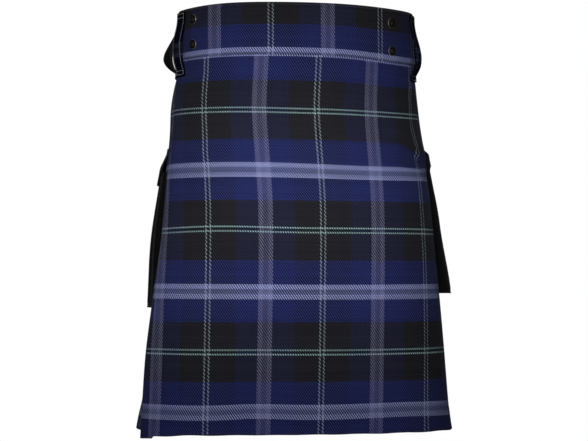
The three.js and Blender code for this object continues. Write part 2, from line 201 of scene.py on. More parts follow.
POCKET_CLOTH = 1.5
POCKET_FRONT = 260
POCKET_BACK = 400
POCKET_WIDTH = POCKET_BACK - POCKET_FRONT
POCKET_CROWN = 1
POCKET_STITCH_INSET = 3.2
POCKET_TURNING = 12
FLAP_HEIGHT = 52
FLAP_OVERHANG = 3
FLAP_CLEARANCE = 0.6
FLAP_CORNER = 19
FLAP_CORNER_SHARE = 0.24
FLAP_BELLY = 1.5
FLAP_SEWN = 2
FLAP_WIDTH = POCKET_WIDTH + 2 * FLAP_OVERHANG
FLAP_STITCH_INSET = 5
POCKETS = {
    "left": {"sign": -1, "top": 202, "mouth": 34, "bottom": 432, "depth": 7, "belly": 10, "base": 7},
    "right": {"sign": 1, "top": 191, "mouth": 18, "bottom": 412, "depth": 10, "belly": 14, "base": 19},
}


# Arithmetic of the surfaces

def smooth(t):
    """0 below 0, 1 above 1, and t squared times (3 - 2t) between."""
    t = np.clip(t, 0, 1)
    return t * t * (3 - 2 * t)


def curve(table, column, drop):
    """A column's value at each drop: a cubic through the table, each row's slope taken from its
    neighbours, level above the first row and straight on below the last."""
    drops = np.array(table["drop"], float)
    values = np.array(table[column], float)
    rows = np.arange(len(drops))
    before = np.maximum(rows - 1, 0)
    after = np.minimum(rows + 1, len(drops) - 1)
    slopes = (values[after] - values[before]) / (drops[after] - drops[before])
    held = np.clip(drop, drops[0], drops[-1])
    k = np.clip(np.searchsorted(drops, held, side="right") - 1, 0, len(drops) - 2)
    span = drops[k + 1] - drops[k]
    t = (held - drops[k]) / span
    between = values[k] + (values[k + 1] - values[k]) * smooth(t)
    leaving = span * slopes[k] * t * (1 - t) ** 2
    arriving = span * slopes[k + 1] * t * t * (1 - t)
    beyond = slopes[-1] * np.maximum(np.asarray(drop) - drops[-1], 0)
    return between + leaving - arriving + beyond


RING_DROPS = np.linspace(0, 640, 321)
RING_SHARES = np.linspace(-1, 1, 1441)


def body_outlines():
    """The body form's outline at each of RING_DROPS: two half superellipses, resampled at even
    shares of the way round from the centre back, with the outward direction at each point, half
    the distance round and the distance from the centre front to the side."""
    drop = RING_DROPS[:, None]
    angle = np.linspace(-math.pi, math.pi, 2881)[None, :]
    across, forward = np.sin(angle), np.cos(angle)
    front = forward > 0
    depth = np.where(front, curve(BODY, "front_depth", drop), curve(BODY, "back_depth", drop))
    square = np.where(front, curve(BODY, "front_square", drop), curve(BODY, "back_square", drop))
    x = curve(BODY, "half_width", drop) * np.sign(across) * np.abs(across) ** (2 / square)
    y = -depth * np.sign(forward) * np.abs(forward) ** (2 / square)
    steps = np.hypot(np.diff(x), np.diff(y))
    arc = np.pad(np.cumsum(steps, axis=1), ((0, 0), (1, 0)))
    half = arc[:, 1440]
    side = arc[:, 2160] - half
    share = arc / arc[:, -1:] * 2 - 1
    x = np.array([np.interp(RING_SHARES, s, row) for s, row in zip(share, x)])
    y = np.array([np.interp(RING_SHARES, s, row) for s, row in zip(share, y)])
    along_x = np.gradient(x, axis=1)
    along_y = np.gradient(y, axis=1)
    length = np.hypot(along_x, along_y)
    return np.stack([x, y, along_y / length, -along_x / length], -1), half, side


OUTLINES, HALVES, SIDES = body_outlines()


def half_round(drop):
    """Half the distance round the body at each drop."""
    return np.interp(drop, RING_DROPS, HALVES)


def side_reach(drop):
    """The distance from the centre front to the side at each drop."""
    return np.interp(drop, RING_DROPS, SIDES)


def free_edge(drop):
    """Reach of the outer apron's free edge."""
    return curve(FREE_EDGE, "reach", drop)


def under_edge(drop):
    """Reach of the under apron's inner edge."""
    return curve(UNDER_EDGE, "reach", drop)


def sag_at(reach, drop):
    """How far the cloth sags: a bell of reach at the left and one at the right of the front."""
    left = curve(SAGGING, "left", drop) * np.exp(-((reach - SAG_LEFT[0]) / SAG_LEFT[1]) ** 2)
    right = curve(SAGGING, "right", drop) * np.exp(-((reach - SAG_RIGHT[0]) / SAG_RIGHT[1]) ** 2)
    return left + right


def place(reach, drop, lift=0.0, sink=0.0):
    """Points in metres: the outline at each drop, read between its points and between the drops
    next to it, moved outwards by lift and down by sink and by the sag."""
    reach, drop, lift, sink = np.broadcast_arrays(reach, drop, lift, sink)
    share = (reach / half_round(drop) + 1) % 2
    column = share / 2 * (len(RING_SHARES) - 1)
    row = np.clip(drop / (RING_DROPS[1] - RING_DROPS[0]), 0, len(RING_DROPS) - 1.001)
    j = np.minimum(column.astype(int), len(RING_SHARES) - 2)
    i = row.astype(int)
    across = (column - j)[..., None]
    down = (row - i)[..., None]
    upper = OUTLINES[i, j] * (1 - across) + OUTLINES[i, j + 1] * across
    lower = OUTLINES[i + 1, j] * (1 - across) + OUTLINES[i + 1, j + 1] * across
    found = upper * (1 - down) + lower * down
    normal = found[..., 2:] / np.linalg.norm(found[..., 2:], axis=-1, keepdims=True)
    flat = found[..., :2] + normal * lift[..., None]
    wrapped = (share - 1) * half_round(drop)
    height = BAND_HEIGHT / 2 - drop - sink - sag_at(wrapped, drop)
    return np.concatenate([flat, height[..., None]], -1) / 1000


def wrap_reach(reach, drop):
    """Reach brought back to the range from the centre back round to the centre back."""
    half = half_round(drop)
    return np.where(reach > half, reach - 2 * half, reach)


def folds_at(reach, drop, folds):
    """Sum of soft folds: each is its height times a bell along it and a bell across it, with its
    middle line bowed by bow times the square of the way along."""
    lift = np.zeros(np.broadcast(reach, drop).shape)
    for at_reach, at_drop, length, width, turn, height, bow in folds:
        right = reach - at_reach
        down = drop - at_drop
        cos, sin = math.cos(math.radians(turn)), math.sin(math.radians(turn))
        along = (right * cos + down * sin) / length
        across = (down * cos - right * sin - bow * along ** 2) / width
        lift = lift + height * np.exp(-along ** 2 - across ** 2)
    return lift


# Uneven waves of the cloth: height, spacing and the seed of their lengths and phases.
RIPPLES = {
    "waves": (1, 105, 9),
    "dimples": (0.3, 8, 3),
    "puckers": (0.4, 33, 4),
    "gathers": (0.4, 13, 5),
    "hem_edge": (0.4, 62, 6),
    "band_seam": (0.3, 27, 21),
}


def ripple(along, kind):
    """An uneven wave: its height times four sines whose lengths spread round its spacing."""
    height, spacing, seed = RIPPLES[kind]
    random = np.random.default_rng(seed)
    lengths = spacing * random.uniform(0.7, 1.6, 4)
    phases = random.uniform(0, 2 * math.pi, 4)
    waves = [np.sin(2 * math.pi * along / length + phase) for length, phase in zip(lengths, phases)]
    return height * (sum(waves) / 2.2)


def fold_lift(reach, drop):
    """The folds and creases, which every layer shares, fading out under the waistband, and faint
    waves that hang down and lean a little."""
    wrapped = wrap_reach(reach, drop)
    waves = ripple(wrapped + 0.12 * drop, "waves") * (0.55 + 0.35 * np.sin(drop / 64 + wrapped / 120))
    creased = folds_at(wrapped, drop, FOLDS) + folds_at(wrapped, drop, CREASES) + waves
    return creased * smooth((drop - BAND_HEIGHT) / FOLD_FADE)


def hem_relief(reach, drop):
    """The turned hem stands a little proud, its sewing line is dimpled, and the cloth below puckers
    in uneven waves. Close under the waistband the cloth is drawn into small gathers."""
    from_seam = drop - KILT_LENGTH + HEM_HEIGHT
    turned = HEM_PROUD * smooth(from_seam / 3)
    dimples = ripple(reach, "dimples") * np.exp(-(from_seam / 3) ** 2)
    puckers = ripple(reach, "puckers") * smooth((from_seam + 12) / 40)
    gathers = ripple(reach, "gathers") * np.exp(-np.maximum(drop - BAND_HEIGHT, 0) / 16)
    return turned + dimples + puckers + gathers


def pleat_seam(drop):
    """Where the pleats begin on the +X side, as a distance round the body."""
    side = side_reach(drop)
    return side + (half_round(drop) - side) * (1 - PLEAT_ZONE_SHARE)


def sunk_share(reach, drop):
    """0 at the +X side line to 1 at the -X one: how far the cloth has sunk under itself."""
    side = side_reach(drop)
    return smooth((reach - side) / (2 * (half_round(drop) - side)))


def hem_sink(reach, drop):
    """The outer apron's free corner hangs lowest, and its turned facing a step lower still. The
    hem's edge is a little uneven."""
    from_edge = reach - free_edge(drop)
    down = smooth((drop - BAND_HEIGHT) / (KILT_LENGTH - BAND_HEIGHT))
    corner = CORNER_DROOP * smooth(1 - from_edge / CORNER_REACH)
    facing = FACING_DROOP * smooth((FACING_WIDTH - from_edge) / 3)
    uneven = ripple(reach, "hem_edge") * smooth((drop - KILT_LENGTH + 12) / 12)
    return (corner + facing) * down + uneven


def skirt_face(reach, drop):
    """Lift of the outermost cloth of the skirt, which rises where the pleats begin."""
    wrapped = wrap_reach(reach, drop)
    left = wrapped < free_edge(drop)
    flat = np.where(left, UNDER_APRON_LIFT, 0)
    around = np.where(left, 2 * half_round(drop) + wrapped, wrapped)
    pleats = PLEAT_CROWN + UNDER_APRON_LIFT * sunk_share(around, drop)
    share = smooth((np.abs(wrapped) - pleat_seam(drop) + PLEAT_RAMP_LEAD) / PLEAT_RAMP_LENGTH)
    return flat + (pleats - flat) * share + fold_lift(wrapped, drop)


def band_face(reach, drop):
    """Lift of the waistband's outer face, which sinks round the back to pass under itself."""
    under = reach < free_edge(drop)
    around = np.where(under, reach + 2 * half_round(drop), reach)
    return UNDER_BAND_LIFT * sunk_share(around, drop) + BAND_THICKNESS / 2


# Building pieces

def show(name, data):
    """A new object of that data, linked to the scene."""
    item = bpy.data.objects.new(name, data)
    bpy.context.scene.collection.objects.link(item)
    return item


def smooth_mesh(name, points, faces, material):
    """A smooth-shaded mesh from points and from faces, which are lists of point numbers."""
    mesh = bpy.data.meshes.new(name)
    mesh.from_pydata(points.reshape(-1, 3).tolist(), [], faces)
    mesh.polygons.foreach_set("use_smooth", np.ones(len(mesh.polygons), bool))
    mesh.materials.append(material)
    return mesh


def add_piece(name, points, faces, material, uv=None, wear=None):
    """A mesh piece with its cloth map and how worn each point is, riding on the one body."""
    mesh = smooth_mesh(name, points, faces, material)
    if uv is not None:
        layer = mesh.uv_layers.new(name="cloth")
        layer.data.foreach_set("uv", uv.astype(np.float32).ravel())
    if wear is not None:
        attribute = mesh.attributes.new("wear", "FLOAT", "POINT")
        attribute.data.foreach_set("value", wear.astype(np.float32).ravel())
    mesh.update()
    piece = show(name, mesh)
    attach(piece, "root")
    return piece


def edge_walk(rows, columns):
    """Row and column of each point round a grid's edge, clockwise from its first corner."""
    down, right = np.arange(rows), np.arange(columns)
    i = np.concatenate([0 * right, down, rows + 0 * right, rows - down])
    j = np.concatenate([right, columns + 0 * down, columns - right, 0 * down])
    return i, j


def measure_cut(middle):
    """Works out the cross product of each cell's diagonals along the middle of the cloth; the size that
    the piece was cut to is not kept."""
    cells = np.cross(middle[1:, 1:] - middle[:-1, :-1], middle[1:, :-1] - middle[:-1, 1:])


RIM_WEAR = 0.6


def cloth_piece(name, outer, inner, u, v, material, wear, u_left=None):
    """A cloth shell: a grid of points on the outer face, the same grid on the inner face, and a
    rounded edge between them, half a thickness out from the sheet. Rows run down and columns run
    towards +X across the front. u and v are the cloth map at the points, and u_left is u for the
    quads on the right of each column, where the map jumps."""
    measure_cut((outer + inner) / 2)
    rows, columns = outer.shape[0] - 1, outer.shape[1] - 1
    count = (rows + 1) * (columns + 1)
    number = np.arange(count).reshape(rows + 1, columns + 1)
    i, j = edge_walk(rows, columns)
    near_i, near_j = np.clip(i, 1, rows - 1), np.clip(j, 1, columns - 1)
    away = outer[i, j] - outer[near_i, near_j]
    away = away / np.maximum(np.linalg.norm(away, axis=-1, keepdims=True), 1e-9)
    thick = np.linalg.norm(outer[i, j] - inner[i, j], axis=-1, keepdims=True)
    rim = (outer[i, j] + inner[i, j]) / 2 + away * thick / 2
    points = np.concatenate([outer.reshape(-1, 3), inner.reshape(-1, 3), rim])
    a, b, c, d = number[:-1, :-1], number[1:, :-1], number[1:, 1:], number[:-1, 1:]
    face = np.stack([a, b, c, d], -1).reshape(-1, 4)
    back = np.stack([a, d, c, b], -1).reshape(-1, 4) + count
    edge = number[i, j]
    rim_number = 2 * count + np.arange(len(i))
    next_edge, next_rim = np.roll(edge, -1), np.roll(rim_number, -1)
    upper = np.stack([edge, next_edge, next_rim, rim_number], -1)
    lower = np.stack([rim_number, next_rim, next_edge + count, edge + count], -1)
    faces = np.concatenate([face, back, upper, lower]).tolist()
    v = np.broadcast_to(v, u.shape)

    def corners(left, values):
        """Values at each face's corners, with left those of the points on the face's left."""
        right = values[:, 1:]
        on_face = np.stack([left[:-1], left[1:], right[1:], right[:-1]], -1).reshape(-1, 4)
        here, ahead = values[i, j], np.roll(values[i, j], -1)
        on_rim = np.stack([here, ahead, ahead, here], -1)
        return np.concatenate([on_face, on_face[:, [0, 3, 2, 1]], on_rim, on_rim])

    uv = np.stack([corners((u if u_left is None else u_left)[:, :-1], u), corners(v[:, :-1], v)], -1)
    wear_all = np.concatenate([wear.ravel(), wear.ravel(), wear[i, j] + RIM_WEAR])
    return add_piece(name, points, faces, material, uv, np.clip(wear_all, 0, 1))


def sett_u(reach, drop):
    """Warp place in half setts, with a green pair at each even number."""
    return (reach - curve(WARP_PHASE, "reach", drop)) / WARP_SETT


def sett_v(drop):
    """Weft place in half setts, with a green pair at each even number."""
    return (drop - WEFT_GREEN) / WEFT_SETT


# Materials

class Field:
    """A number that flows between a material's nodes. Arithmetic on it adds Math nodes."""

    def __init__(self, tree, socket):
        self.tree = tree
        self.socket = socket

    def maths(self, operation, *others):
        node = self.tree.nodes.new("ShaderNodeMath")
        node.operation = operation
        for socket, value in zip(node.inputs, (self, *others)):
            feed(self.tree, socket, value)
        return Field(self.tree, node.outputs[0])

    def __add__(self, other):
        return self.maths("ADD", other)

    def __sub__(self, other):
        return self.maths("SUBTRACT", other)

    def __mul__(self, other):
        return self.maths("MULTIPLY", other)

    def __truediv__(self, other):
        return self.maths("DIVIDE", other)


def feed(tree, socket, value):
    """Links a field or a socket to a socket, or sets its value."""
    if isinstance(value, Field):
        tree.links.new(value.socket, socket)
    elif isinstance(value, bpy.types.NodeSocket):
        tree.links.new(value, socket)
    else:
        socket.default_value = value


def new_node(tree, kind, **inputs):
    """A node with its inputs fed by name, where _ stands for a space."""
    node = tree.nodes.new(kind)
    for name, value in inputs.items():
        feed(tree, node.inputs[name.replace("_", " ")], value)
    return node


def noise(tree, vector, scale, detail=3.0):
    """A field of soft noise about 0.5, scale times to the metre."""
    node = new_node(tree, "ShaderNodeTexNoise", Vector=vector, Scale=scale, Detail=detail)
    return Field(tree, node.outputs[0])


def ramp(tree, place_on_it, stops, stepped=True):
    """A colour for each place from 0 to 1: the stop's own as far as the next one when stepped, or
    a blend."""
    node = new_node(tree, "ShaderNodeValToRGB", Fac=place_on_it)
    node.color_ramp.interpolation = "CONSTANT" if stepped else "LINEAR"
    elements = node.color_ramp.elements
    while len(elements) < len(stops):
        elements.new(0.5)
    for element, (position, colour) in zip(elements, stops):
        element.position = position
        element.color = (*colour, 1)
    return node.outputs[0]


def mix(tree, share, first, second, kind="MIX"):
    """The first colour blended with the second by that share."""
    node = tree.nodes.new("ShaderNodeMix")
    node.data_type = "RGBA"
    node.blend_type = kind
    feed(tree, node.inputs[0], share)
    feed(tree, node.inputs[6], first)
    feed(tree, node.inputs[7], second)
    return node.outputs[2]


def new_material(name):
    """A new material with its tree, its shader and where the tree finds a place on the object."""
    material = bpy.data.materials.new(name)
    material.use_nodes = True
    tree = material.node_tree
    where = new_node(tree, "ShaderNodeTexCoord").outputs["Object"]
    return material, tree, tree.nodes["Principled BSDF"], where


def shaded(tree, colour, shade):
    """The colour times a field of shade."""
    grey = new_node(tree, "ShaderNodeCombineXYZ", X=shade, Y=shade, Z=shade).outputs[0]
    return mix(tree, 1.0, colour, grey, "MULTIPLY")


def set_bump(tree, shader, relief, strength, distance):
    """Fine relief, distance metres high where its field is 1."""
    bump = new_node(tree, "ShaderNodeBump", Height=relief, Strength=strength, Distance=distance)
    feed(tree, shader.inputs["Normal"], bump.outputs[0])


def wear_field(tree):
    """How worn the piece is at each point."""
    node = tree.nodes.new("ShaderNodeAttribute")
    node.attribute_name = "wear"
    return Field(tree, node.outputs["Fac"])


def cloth_base(name, roughness_low, roughness_high, sheen, sheen_tint, gloss):
    """A new material with its cloth map as two fields, and the shader's constants set."""
    material, tree, shader, where = new_material(name)
    shader.inputs["Sheen Weight"].default_value = sheen
    shader.inputs["Sheen Roughness"].default_value = 0.45
    shader.inputs["Sheen Tint"].default_value = (*sheen_tint, 1)
    shader.inputs["Specular IOR Level"].default_value = gloss
    uv = new_node(tree, "ShaderNodeUVMap")
    uv.uv_map = "cloth"
    split = new_node(tree, "ShaderNodeSeparateXYZ", Vector=uv.outputs[0])
    u, v = Field(tree, split.outputs[0]), Field(tree, split.outputs[1])
    rough = noise(tree, where, 60.0) * (roughness_high - roughness_low) + roughness_low
    feed(tree, shader.inputs["Roughness"], rough)
    return material, tree, shader, u, v, where


def thread_grid(tree, u, v, across, down, shows_above=0.0):
    """A 2/2 twill of across by down threads to one unit of the map. Returns the share of warp on
    the face, 0 or 1, the height of the thread there, and one number for each thread. Each float
    passes over two threads, and the next row starts one thread further on. A warp float shows
    where its own round back is higher than shows_above."""
    along_u, along_v = u * across, v * down
    warp, weft = along_u.maths("FLOOR"), along_v.maths("FLOOR")
    in_warp, in_weft = along_u - warp, along_v - weft
    phase = (weft - warp).maths("FLOORED_MODULO", 4.0)
    round_warp = in_warp * (in_warp * -1.0 + 1.0) * 4.0
    warp_on_top = phase.maths("LESS_THAN", 1.5) * round_warp.maths("GREATER_THAN", shows_above)
    round_weft = in_weft * (in_weft * -1.0 + 1.0) * 4.0
    warp_float = ((phase + in_weft) * (math.pi / 2)).maths("SINE")
    weft_float = ((phase * -1.0 + in_warp + 3.0) * (math.pi / 2)).maths("SINE")
    weft_on_top = warp_on_top * -1.0 + 1.0
    height = warp_on_top * round_warp * warp_float + weft_on_top * round_weft * weft_float
    thread = warp_on_top * (warp + 0.37) + weft_on_top * (weft * -1.0 - 0.41)
    tone = new_node(tree, "ShaderNodeTexWhiteNoise")
    tone.noise_dimensions = "1D"
    feed(tree, tone.inputs["W"], thread)
    return warp_on_top, height, Field(tree, tone.outputs["Value"])


BLACK_YARN = (0.0207, 0.0202, 0.025)
NAVY_YARN = (0.0222, 0.0298, 0.134)
TEAL_YARN = (0.0122, 0.021, 0.0238)
# The sett of the warp and of the weft: where each yarn begins, as a share of the way from the
# middle of a green pair to the middle of a lavender stripe, and its colour.
WARP_SETT_YARNS = [
    (0.0, TEAL_YARN),
    (0.0212, (0.585, 0.69, 0.74)),
    (0.0482, TEAL_YARN),
    (0.07, BLACK_YARN),
    (0.49, NAVY_YARN),
    (0.873, (0.395, 0.4, 0.69)),
    (0.957, (0.235, 0.247, 0.47)),
]
WEFT_SETT_YARNS = [
    (0.0, TEAL_YARN),
    (0.0208, (0.272, 0.372, 0.383)),
    (0.0493, TEAL_YARN),
    (0.07, BLACK_YARN),
    (0.49, NAVY_YARN),
    (0.873, (0.272, 0.304, 0.568)),
    (0.957, (0.124, 0.148, 0.322)),
]
WARP_THREADS = 92
WEFT_THREADS = 65
# The weft bulges over the warp's edges: the least height of a warp thread that still shows.
WARP_SHOWS_ABOVE = 0.77
BLACK_CLOTH = (0.0027, 0.0027, 0.003, 1)
DUST = (0.12, 0.12, 0.13, 1)
RUBBED_YARN = (0.3, 0.3, 0.36, 1)
# Threads to a millimetre of the plain black cloth.
BLACK_WARP_THREADS = 1.9
BLACK_WEFT_THREADS = 1.7


def worn_colour(tree, colour, where, amount):
    """The colour, lighter where the wear attribute and a fine noise say the edge is rubbed."""
    rubbed = wear_field(tree) * noise(tree, where, 900.0) * amount
    return mix(tree, rubbed, colour, RUBBED_YARN)


def tartan_material(name, dim=1.0):
    """Each crossing shows the warp's or the weft's yarn, taken from the sett at that thread, times a
    painted shade from the thread's height that is darkest in the gaps between the floats. dim darkens the
    whole cloth as painted shade, for a copy that lies in shade."""
    material, tree, shader, u, v, where = cloth_base(
        name, 0.78, 0.95, 0.03 * dim, (0.6, 0.65, 0.9), 0.06 * dim)
    warp_on_top, height, tone = thread_grid(tree, u, v, WARP_THREADS, WEFT_THREADS, WARP_SHOWS_ABOVE)
    warp_colour = ramp(tree, u.maths("PINGPONG", 1.0), WARP_SETT_YARNS)
    weft_colour = ramp(tree, v.maths("PINGPONG", 1.0), WEFT_SETT_YARNS)
    colour = mix(tree, warp_on_top, weft_colour, warp_colour)
    yarn = tone * 0.35 + 0.8
    cloudy = noise(tree, where, 9.0, 4.0) * 0.3 + 0.86
    fibre = noise(tree, where, 2600.0, 2.0) * 0.4 + 0.8
    # Painted shade: a thread is darker where its height is low, darkest in the gaps between the floats.
    lit_warp = warp_on_top * (height * 0.5 + 0.2)
    lit_weft = (warp_on_top * -1.0 + 1.0) * (height * 1.35 + 0.2)
    depth = (lit_warp + lit_weft).maths("MAXIMUM", 0.02) * dim
    colour = shaded(tree, colour, yarn * cloudy * fibre * depth)
    feed(tree, shader.inputs["Base Color"], worn_colour(tree, colour, where, 0.05 * dim))
    set_bump(tree, shader, height + noise(tree, where, 1800.0, 2.0) * 0.5, 0.55, 0.00028)
    return material


def black_material():
    """Plain black cotton twill: the same weave with one yarn, painted shade from each thread's height, a
    dusty bloom and rubbed edges.
    """
    material, tree, shader, u, v, where = cloth_base(
        "black_twill", 0.8, 0.97, 0.01, (0.7, 0.7, 0.75), 0.02)
    _, height, tone = thread_grid(tree, u, v, BLACK_WARP_THREADS, BLACK_WEFT_THREADS)
    bloom = noise(tree, where, 14.0, 4.0) * 0.7 + 0.66
    # Painted shade: each thread is darker where its height is low.
    colour = shaded(tree, BLACK_CLOTH, (tone * 0.4 + 0.8) * (height * 0.5 + 0.7) * bloom)
    dust = noise(tree, where, 700.0, 2.0).maths("POWER", 6.0) * 0.3
    colour = mix(tree, dust, colour, DUST)
    feed(tree, shader.inputs["Base Color"], worn_colour(tree, colour, where, 0.08))
    set_bump(tree, shader, height + noise(tree, where, 1500.0, 2.0) * 0.6, 0.5, 0.0003)
    return material


# From the hollows to the rubbed rim.
SNAP_METAL = [
    (0.0, (0.004, 0.0035, 0.003)),
    (0.35, (0.014, 0.011, 0.009)),
    (0.75, (0.055, 0.044, 0.038)),
    (1.0, (0.24, 0.22, 0.2)),
]


def metal_material():
    """Antique brass: dark in the hollows, rubbed warm brown on the crown and pale on the rim."""
    material, tree, shader, where = new_material("antique_snap")
    shader.inputs["Metallic"].default_value = 0.9
    rubbed = wear_field(tree) + (noise(tree, where, 500.0) - 0.5) * 0.6
    feed(tree, shader.inputs["Base Color"], ramp(tree, rubbed, SNAP_METAL, stepped=False))
    feed(tree, shader.inputs["Roughness"], noise(tree, where, 900.0) * 0.3 + 0.32)
    set_bump(tree, shader, noise(tree, where, 1400.0), 0.25, 0.0002)
    return material


def thread_material(name, colour):
    """Polyester sewing thread: fine slanting strands, a little gloss."""
    material, tree, shader, where = new_material(name)
    shader.inputs["Sheen Weight"].default_value = 0.2
    shader.inputs["Specular IOR Level"].default_value = 0.5
    strand = noise(tree, where, 3500.0, 2.0)
    feed(tree, shader.inputs["Base Color"], shaded(tree, (*colour, 1), strand * 0.8 + 0.6))
    feed(tree, shader.inputs["Roughness"], strand * 0.3 + 0.45)
    set_bump(tree, shader, strand, 0.4, 0.0002)
    return material


TARTAN = tartan_material("tartan_twill")
# The belt loops' tartan is a copy darkened to 0.15 by painted shade, for straps that stand in shade.
SHADED_STRAP_TARTAN = tartan_material("shaded_strap_twill", 0.15)
BLACK = black_material()
METAL = metal_material()
DARK_THREAD = thread_material("dark_thread", (0.016, 0.016, 0.02))
GREY_THREAD = thread_material("grey_thread", (0.34, 0.34, 0.37))


# The skirt

SKIRT_TOP = 70.0
SKIRT_ROWS = 132
UNDER_ROWS = 90
PLEAT_ROWS = 104


def skirt_rows(count):
    """Drops of a skirt panel's rows as a column, from inside the waistband to the hem."""
    return np.linspace(SKIRT_TOP, KILT_LENGTH, count + 1)[:, None]


def edge_wear(drop, from_edge, width=4.0):
    """How rubbed the cloth is: most within width of the hem or of a side edge."""
    return np.maximum(smooth(1 - (KILT_LENGTH - drop) / width), smooth(1 - from_edge / width)) * 0.8


def panel(name, start, end, lift_at, columns, rows=SKIRT_ROWS, pulled=False):
    """A flat skirt panel between two edges, given as reaches at each drop. Its check follows the
    threads: it doesn't sink with the hem, and it is pulled aside where pulled is true."""
    drop = skirt_rows(rows)
    share = np.linspace(0, 1, columns + 1)[None, :]
    reach = start(drop) + (end(drop) - start(drop)) * share
    drop = np.broadcast_to(drop, reach.shape)
    lift, sink = lift_at(reach, drop)
    outer = place(reach, drop, lift, sink)
    inner = place(reach, drop, lift - CLOTH, sink)
    wear = edge_wear(drop, np.abs(reach - start(drop)))
    level = folds_at(reach, drop, LEVEL_PULLS) if pulled else 0
    upright = folds_at(reach, drop, UPRIGHT_PULLS) if pulled else 0
    u, v = sett_u(reach - upright, drop), sett_v(drop + sink - level)
    return cloth_piece(name, outer, inner, u, v, TARTAN, wear=wear)


def outer_apron():
    """The front panel: folds and hem, with a free edge that stands off and a facing behind it."""
    def lift_at(reach, drop):
        from_edge = reach - free_edge(drop)
        standing = curve(FREE_EDGE, "standing", drop) * smooth(1 - from_edge / STANDING_REACH)
        facing = FACING_PROUD * smooth((FACING_WIDTH - from_edge) / 2)
        return fold_lift(reach, drop) + hem_relief(reach, drop) + standing + facing, hem_sink(reach, drop)
    return panel(
        "cloth_outer_apron", free_edge, lambda drop: pleat_seam(drop) - SEAM_GAP / 2, lift_at, 190,
        pulled=True)


def under_apron():
    """The panel beneath, with the same folds and hem, further in."""
    def lift_at(reach, drop):
        return fold_lift(reach, drop) + hem_relief(reach, drop) + UNDER_APRON_LIFT, 0 * drop
    return panel(
        "cloth_under_apron", lambda drop: SEAM_GAP / 2 - pleat_seam(drop), under_edge, lift_at, 110,
        UNDER_ROWS)


def pleat_start(drop):
    """Reach of the first pleat's seam."""
    return pleat_seam(drop) + SEAM_GAP / 2


def pleat_sizes(drop):
    """Spacing of the layers, overlap, roundness of the folds, reveal and depth at each drop. The
    reveal is an equal share of the way from seam to seam, and the depth a share of the reveal."""
    spacing = curve(PLEATS, "spacing", drop)
    overlap = curve(PLEATS, "overlap", drop)
    width = 2 * (half_round(drop) - pleat_start(drop))
    roundness = PLEAT_ROUNDNESS * spacing
    reveal = (width - overlap - roundness - PLEAT_CLOTH) / PLEAT_COUNT
    depth = reveal * curve(PLEATS, "depth_share", drop)
    return [size[..., None] for size in (spacing, overlap, roundness, reveal, depth)]


# Points across a pleat's face, as shares of the way to its folded edge.
PLEAT_SHARES = np.array([0.0, 0.06, 0.14, 0.26, 0.42, 0.6, 0.78, 0.92, 1.0])
FOLD_POINT = len(PLEAT_SHARES) - 1


def pleat_zigzag(drop, k):
    """The zigzag of pleats k at each drop, as run from the first seam and layer from 0, innermost,
    to 2, outermost. Each pleat rises from under the last one to its folded edge, turns a half
    circle under, runs back, turns again and starts the next."""
    _, overlap, roundness, reveal, depth = pleat_sizes(drop)
    start = reveal * k
    fold = start + reveal + overlap
    inner = fold - depth
    first = start + np.where(k > 0, overlap / 2, 0)
    face_run = first + (fold - first) * PLEAT_SHARES
    low_layer = np.where(k > 0, 0.0, 1.3)
    rise = smooth((face_run - first - 1.2) / (inner - first - 2.4))
    face_layer = low_layer + (1.8 - low_layer) * rise + 0.2 * smooth((face_run - inner) / depth)
    turn = np.linspace(0, math.pi, 5)[1:]
    fold_run = fold + roundness * np.sin(turn)
    fold_layer = 1.5 + 0.5 * np.cos(turn) + 0 * fold
    back_run = fold - depth * np.array([0.35, 0.7, 1.0])
    back_layer = 1.0 + 0 * back_run
    under_run = inner - roundness * np.sin(turn)
    under_layer = 0.5 + 0.5 * np.cos(turn) + 0 * inner
    run = np.concatenate([face_run, fold_run, back_run, under_run], -1)
    layer = np.concatenate([face_layer, fold_layer, back_layer, under_layer], -1)
    return run, layer


def loosened(run, layer, drop, k):
    """The zigzag with pleats that stand up and lean by chance, more so lower down, and not at the
    two seams."""
    opened = smooth((drop - PLEATS_OPEN_FROM) / PLEATS_OPEN_OVER)[..., None]
    inside = smooth((k - 2) / 2) * smooth((PLEAT_COUNT - 2 - k) / 2)
    random = np.random.default_rng(11)
    loose = random.uniform(0, PLEAT_LOOSENESS, PLEAT_COUNT)[None, :, None]
    leaning = random.uniform(-PLEAT_LEAN, PLEAT_LEAN, PLEAT_COUNT)[None, :, None]
    run = run + leaning * opened * inside * np.clip(layer - 1, 0, 1)
    return run, layer * (1 + loose * opened * inside)


def pleat_sett(run, layer, drop, k):
    """The sett's u along the zigzag, counted from where each folded edge lies at the hip, and the u
    on the right of each point, where the next pleat starts."""
    spacing, overlap = pleat_sizes(drop)[:2]
    hip_seam = pleat_seam(HIP_DROP)
    hip_width = 2 * (half_round(HIP_DROP) - hip_seam)
    hip_fold = hip_seam + hip_width / PLEAT_COUNT * (k + 1)
    step = np.hypot(np.diff(run, axis=-1), np.diff(layer, axis=-1) * spacing)
    path = np.pad(np.cumsum(step, axis=-1), ((0, 0), (0, 0), (1, 0)))
    along = path - path[..., FOLD_POINT:FOLD_POINT + 1]
    u = (hip_fold + along - WARP_PHASE["reach"][-2]) / WARP_SETT
    u_right = u.copy()
    u_right[:, :-1, -1] = u[:, 1:, 0] - overlap[..., 0] / 2 / WARP_SETT
    return u, u_right


